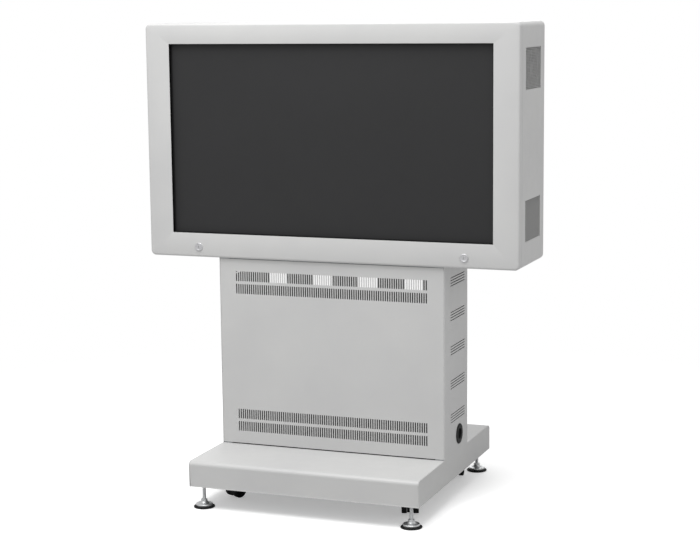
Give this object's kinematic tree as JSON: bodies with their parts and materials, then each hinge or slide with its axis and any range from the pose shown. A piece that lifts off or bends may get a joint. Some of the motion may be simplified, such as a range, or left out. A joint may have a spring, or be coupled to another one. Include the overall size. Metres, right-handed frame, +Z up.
{
  "type": "touchscreen kiosk",
  "caption": "Free-standing kiosk with a wide landscape touchscreen in a grey steel head, on a vented column and a square base with levelling feet and castors.",
  "frame": {"origin": "on the floor, under the middle of the base", "axes": "+X to the visitor's right, -Y towards the visitor, +Z up"},
  "size_m": [1.33, 0.815, 1.619],
  "materials": {
    "light_grey_paint": "semi-gloss powder coat",
    "galvanised_steel": "galvanised sheet",
    "zinc_plate": "bright zinc plate",
    "chrome_lock": "satin chrome",
    "dark_steel": "dark powder coat",
    "black_steel": "black coat",
    "black_plastic": "moulded, fine grain",
    "black_anodised": "black anodised",
    "display_black": "switched-off display",
    "cover_glass": "low-glare cover glass",
    "foam_rubber": "closed-cell foam",
    "castor_rubber": "black moulded"
  },
  "bodies": {
    "cabinet": {"base_cover_front": "light_grey_paint", "base_cover_rear": "light_grey_paint", "side_plate_left": "light_grey_paint", "side_plate_right": "light_grey_paint", "column_front_panel": "light_grey_paint", "head_shell": "light_grey_paint", "head_rear_panel": "light_grey_paint", "side_grilles": "light_grey_paint", "base_frame": "galvanised_steel", "column_frame": "galvanised_steel", "display_rails": "galvanised_steel", "display_chassis": "galvanised_steel", "rear_hinge_fixed": "galvanised_steel", "bezel_hinge_fixed": "galvanised_steel", "hinge_pins": "zinc_plate", "rear_panel_screws": "zinc_plate", "foot_lock_nuts": "zinc_plate", "castor_plates": "zinc_plate", "equipment_plate": "dark_steel", "computer_case": "dark_steel", "power_strip": "black_plastic", "cable_outlet": "black_plastic", "fan_frames": "black_plastic", "touch_frame": "black_anodised", "display_panel": "display_black", "cover_glass": "cover_glass"},
    "bezel_door": {"bezel_frame": "light_grey_paint", "bezel_gasket": "foam_rubber", "bezel_hinge_moving": "galvanised_steel", "lock_barrels": "chrome_lock"},
    "lock_left": {"lock_plug_left": "chrome_lock", "lock_cam_left": "galvanised_steel"},
    "lock_right": {"lock_plug_right": "chrome_lock", "lock_cam_right": "galvanised_steel"},
    "rear_door": {"rear_door": "light_grey_paint", "rear_hinge_moving": "galvanised_steel", "rear_lock_barrel": "chrome_lock"},
    "rear_lock": {"rear_lock_plug": "chrome_lock", "rear_lock_cam": "galvanised_steel"},
    "power_switch": {"power_switch": "black_plastic"},
    "fan_left": {"fan_rotor_left": "black_plastic"},
    "fan_right": {"fan_rotor_right": "black_plastic"},
    "foot_fl": {"foot_stud_fl": "zinc_plate", "foot_pad_fl": "black_plastic"},
    "castor_fl": {"castor_hood_fl": "black_steel"},
    "wheel_fl": {"castor_wheel_fl": "castor_rubber"},
    "foot_fr": {"foot_stud_fr": "zinc_plate", "foot_pad_fr": "black_plastic"},
    "castor_fr": {"castor_hood_fr": "black_steel"},
    "wheel_fr": {"castor_wheel_fr": "castor_rubber"},
    "foot_rl": {"foot_stud_rl": "zinc_plate", "foot_pad_rl": "black_plastic"},
    "castor_rl": {"castor_hood_rl": "black_steel"},
    "wheel_rl": {"castor_wheel_rl": "castor_rubber"},
    "foot_rr": {"foot_stud_rr": "zinc_plate", "foot_pad_rr": "black_plastic"},
    "castor_rr": {"castor_hood_rr": "black_steel"},
    "wheel_rr": {"castor_wheel_rr": "castor_rubber"},
    "brake_fl": {"brake_pedal_fl": "black_steel"},
    "brake_fr": {"brake_pedal_fr": "black_steel"}
  },
  "joints": [
    {"name": "bezel_hinge", "type": "hinge", "parent": "cabinet", "child": "bezel_door", "pos_m": [0, -0.112, 1.615], "axis": [-1, 0, 0], "range_deg": [0, 80]},
    {"name": "lock_left_turn", "type": "hinge", "parent": "bezel_door", "child": "lock_left", "pos_m": [-0.478, -0.142, 0.8545], "axis": [0, 1, 0], "range_deg": [0, 90]},
    {"name": "lock_right_turn", "type": "hinge", "parent": "bezel_door", "child": "lock_right", "pos_m": [0.478, -0.142, 0.8545], "axis": [0, -1, 0], "range_deg": [0, 90]},
    {"name": "rear_door_hinge", "type": "hinge", "parent": "cabinet", "child": "rear_door", "pos_m": [-0.3845, 0.134, 0.4915], "axis": [0, 0, 1], "range_deg": [0, 120]},
    {"name": "rear_lock_turn", "type": "hinge", "parent": "rear_door", "child": "rear_lock", "pos_m": [0.345, 0.13, 0.4915], "axis": [0, -1, 0], "range_deg": [0, 90]},
    {"name": "power_switch_rock", "type": "hinge", "parent": "cabinet", "child": "power_switch", "pos_m": [0.01, 0.057, 0.2625], "axis": [-1, 0, 0], "range_deg": [0, 16]},
    {"name": "fan_left_spin", "type": "hinge", "parent": "cabinet", "child": "fan_left", "pos_m": [-0.65, 0.021, 1.4665], "axis": [1, 0, 0], "continuous": true},
    {"name": "fan_right_spin", "type": "hinge", "parent": "cabinet", "child": "fan_right", "pos_m": [0.65, 0.021, 1.4665], "axis": [1, 0, 0], "continuous": true},
    {"name": "foot_fl_screw", "type": "slide", "parent": "cabinet", "child": "foot_fl", "axis": [0, 0, 1], "range_m": [-0.02, 0.01]},
    {"name": "foot_fr_screw", "type": "slide", "parent": "cabinet", "child": "foot_fr", "axis": [0, 0, 1], "range_m": [-0.02, 0.01]},
    {"name": "foot_rl_screw", "type": "slide", "parent": "cabinet", "child": "foot_rl", "axis": [0, 0, 1], "range_m": [-0.02, 0.01]},
    {"name": "foot_rr_screw", "type": "slide", "parent": "cabinet", "child": "foot_rr", "axis": [0, 0, 1], "range_m": [-0.02, 0.01]},
    {"name": "castor_fl_swivel", "type": "hinge", "parent": "cabinet", "child": "castor_fl", "pos_m": [-0.325, -0.25, 0.07], "axis": [0, 0, 1], "continuous": true},
    {"name": "wheel_fl_roll", "type": "hinge", "parent": "castor_fl", "child": "wheel_fl", "pos_m": [-0.31561, -0.23234, 0.029], "axis": [-0.8829, 0.4695, 0], "continuous": true},
    {"name": "castor_fr_swivel", "type": "hinge", "parent": "cabinet", "child": "castor_fr", "pos_m": [0.325, -0.25, 0.07], "axis": [0, 0, 1], "continuous": true},
    {"name": "wheel_fr_roll", "type": "hinge", "parent": "castor_fr", "child": "wheel_fr", "pos_m": [0.31849, -0.23109, 0.029], "axis": [-0.9455, -0.3256, 0], "continuous": true},
    {"name": "castor_rl_swivel", "type": "hinge", "parent": "cabinet", "child": "castor_rl", "pos_m": [-0.325, 0.25, 0.07], "axis": [0, 0, 1], "continuous": true},
    {"name": "wheel_rl_roll", "type": "hinge", "parent": "castor_rl", "child": "wheel_rl", "pos_m": [-0.31982, 0.26932, 0.029], "axis": [-0.9659, 0.2588, 0], "continuous": true},
    {"name": "castor_rr_swivel", "type": "hinge", "parent": "cabinet", "child": "castor_rr", "pos_m": [0.325, 0.25, 0.07], "axis": [0, 0, 1], "continuous": true},
    {"name": "wheel_rr_roll", "type": "hinge", "parent": "castor_rr", "child": "wheel_rr", "pos_m": [0.32153, 0.2697, 0.029], "axis": [-0.9848, -0.1736, 0], "continuous": true},
    {"name": "brake_fl_press", "type": "hinge", "parent": "castor_fl", "child": "brake_fl", "pos_m": [-0.32688, -0.25353, 0.048], "axis": [0.8829, -0.4695, 0], "range_deg": [0, 18]},
    {"name": "brake_fr_press", "type": "hinge", "parent": "castor_fr", "child": "brake_fr", "pos_m": [0.3263, -0.25378, 0.048], "axis": [0.9455, 0.3256, 0], "range_deg": [0, 18]}
  ]
}
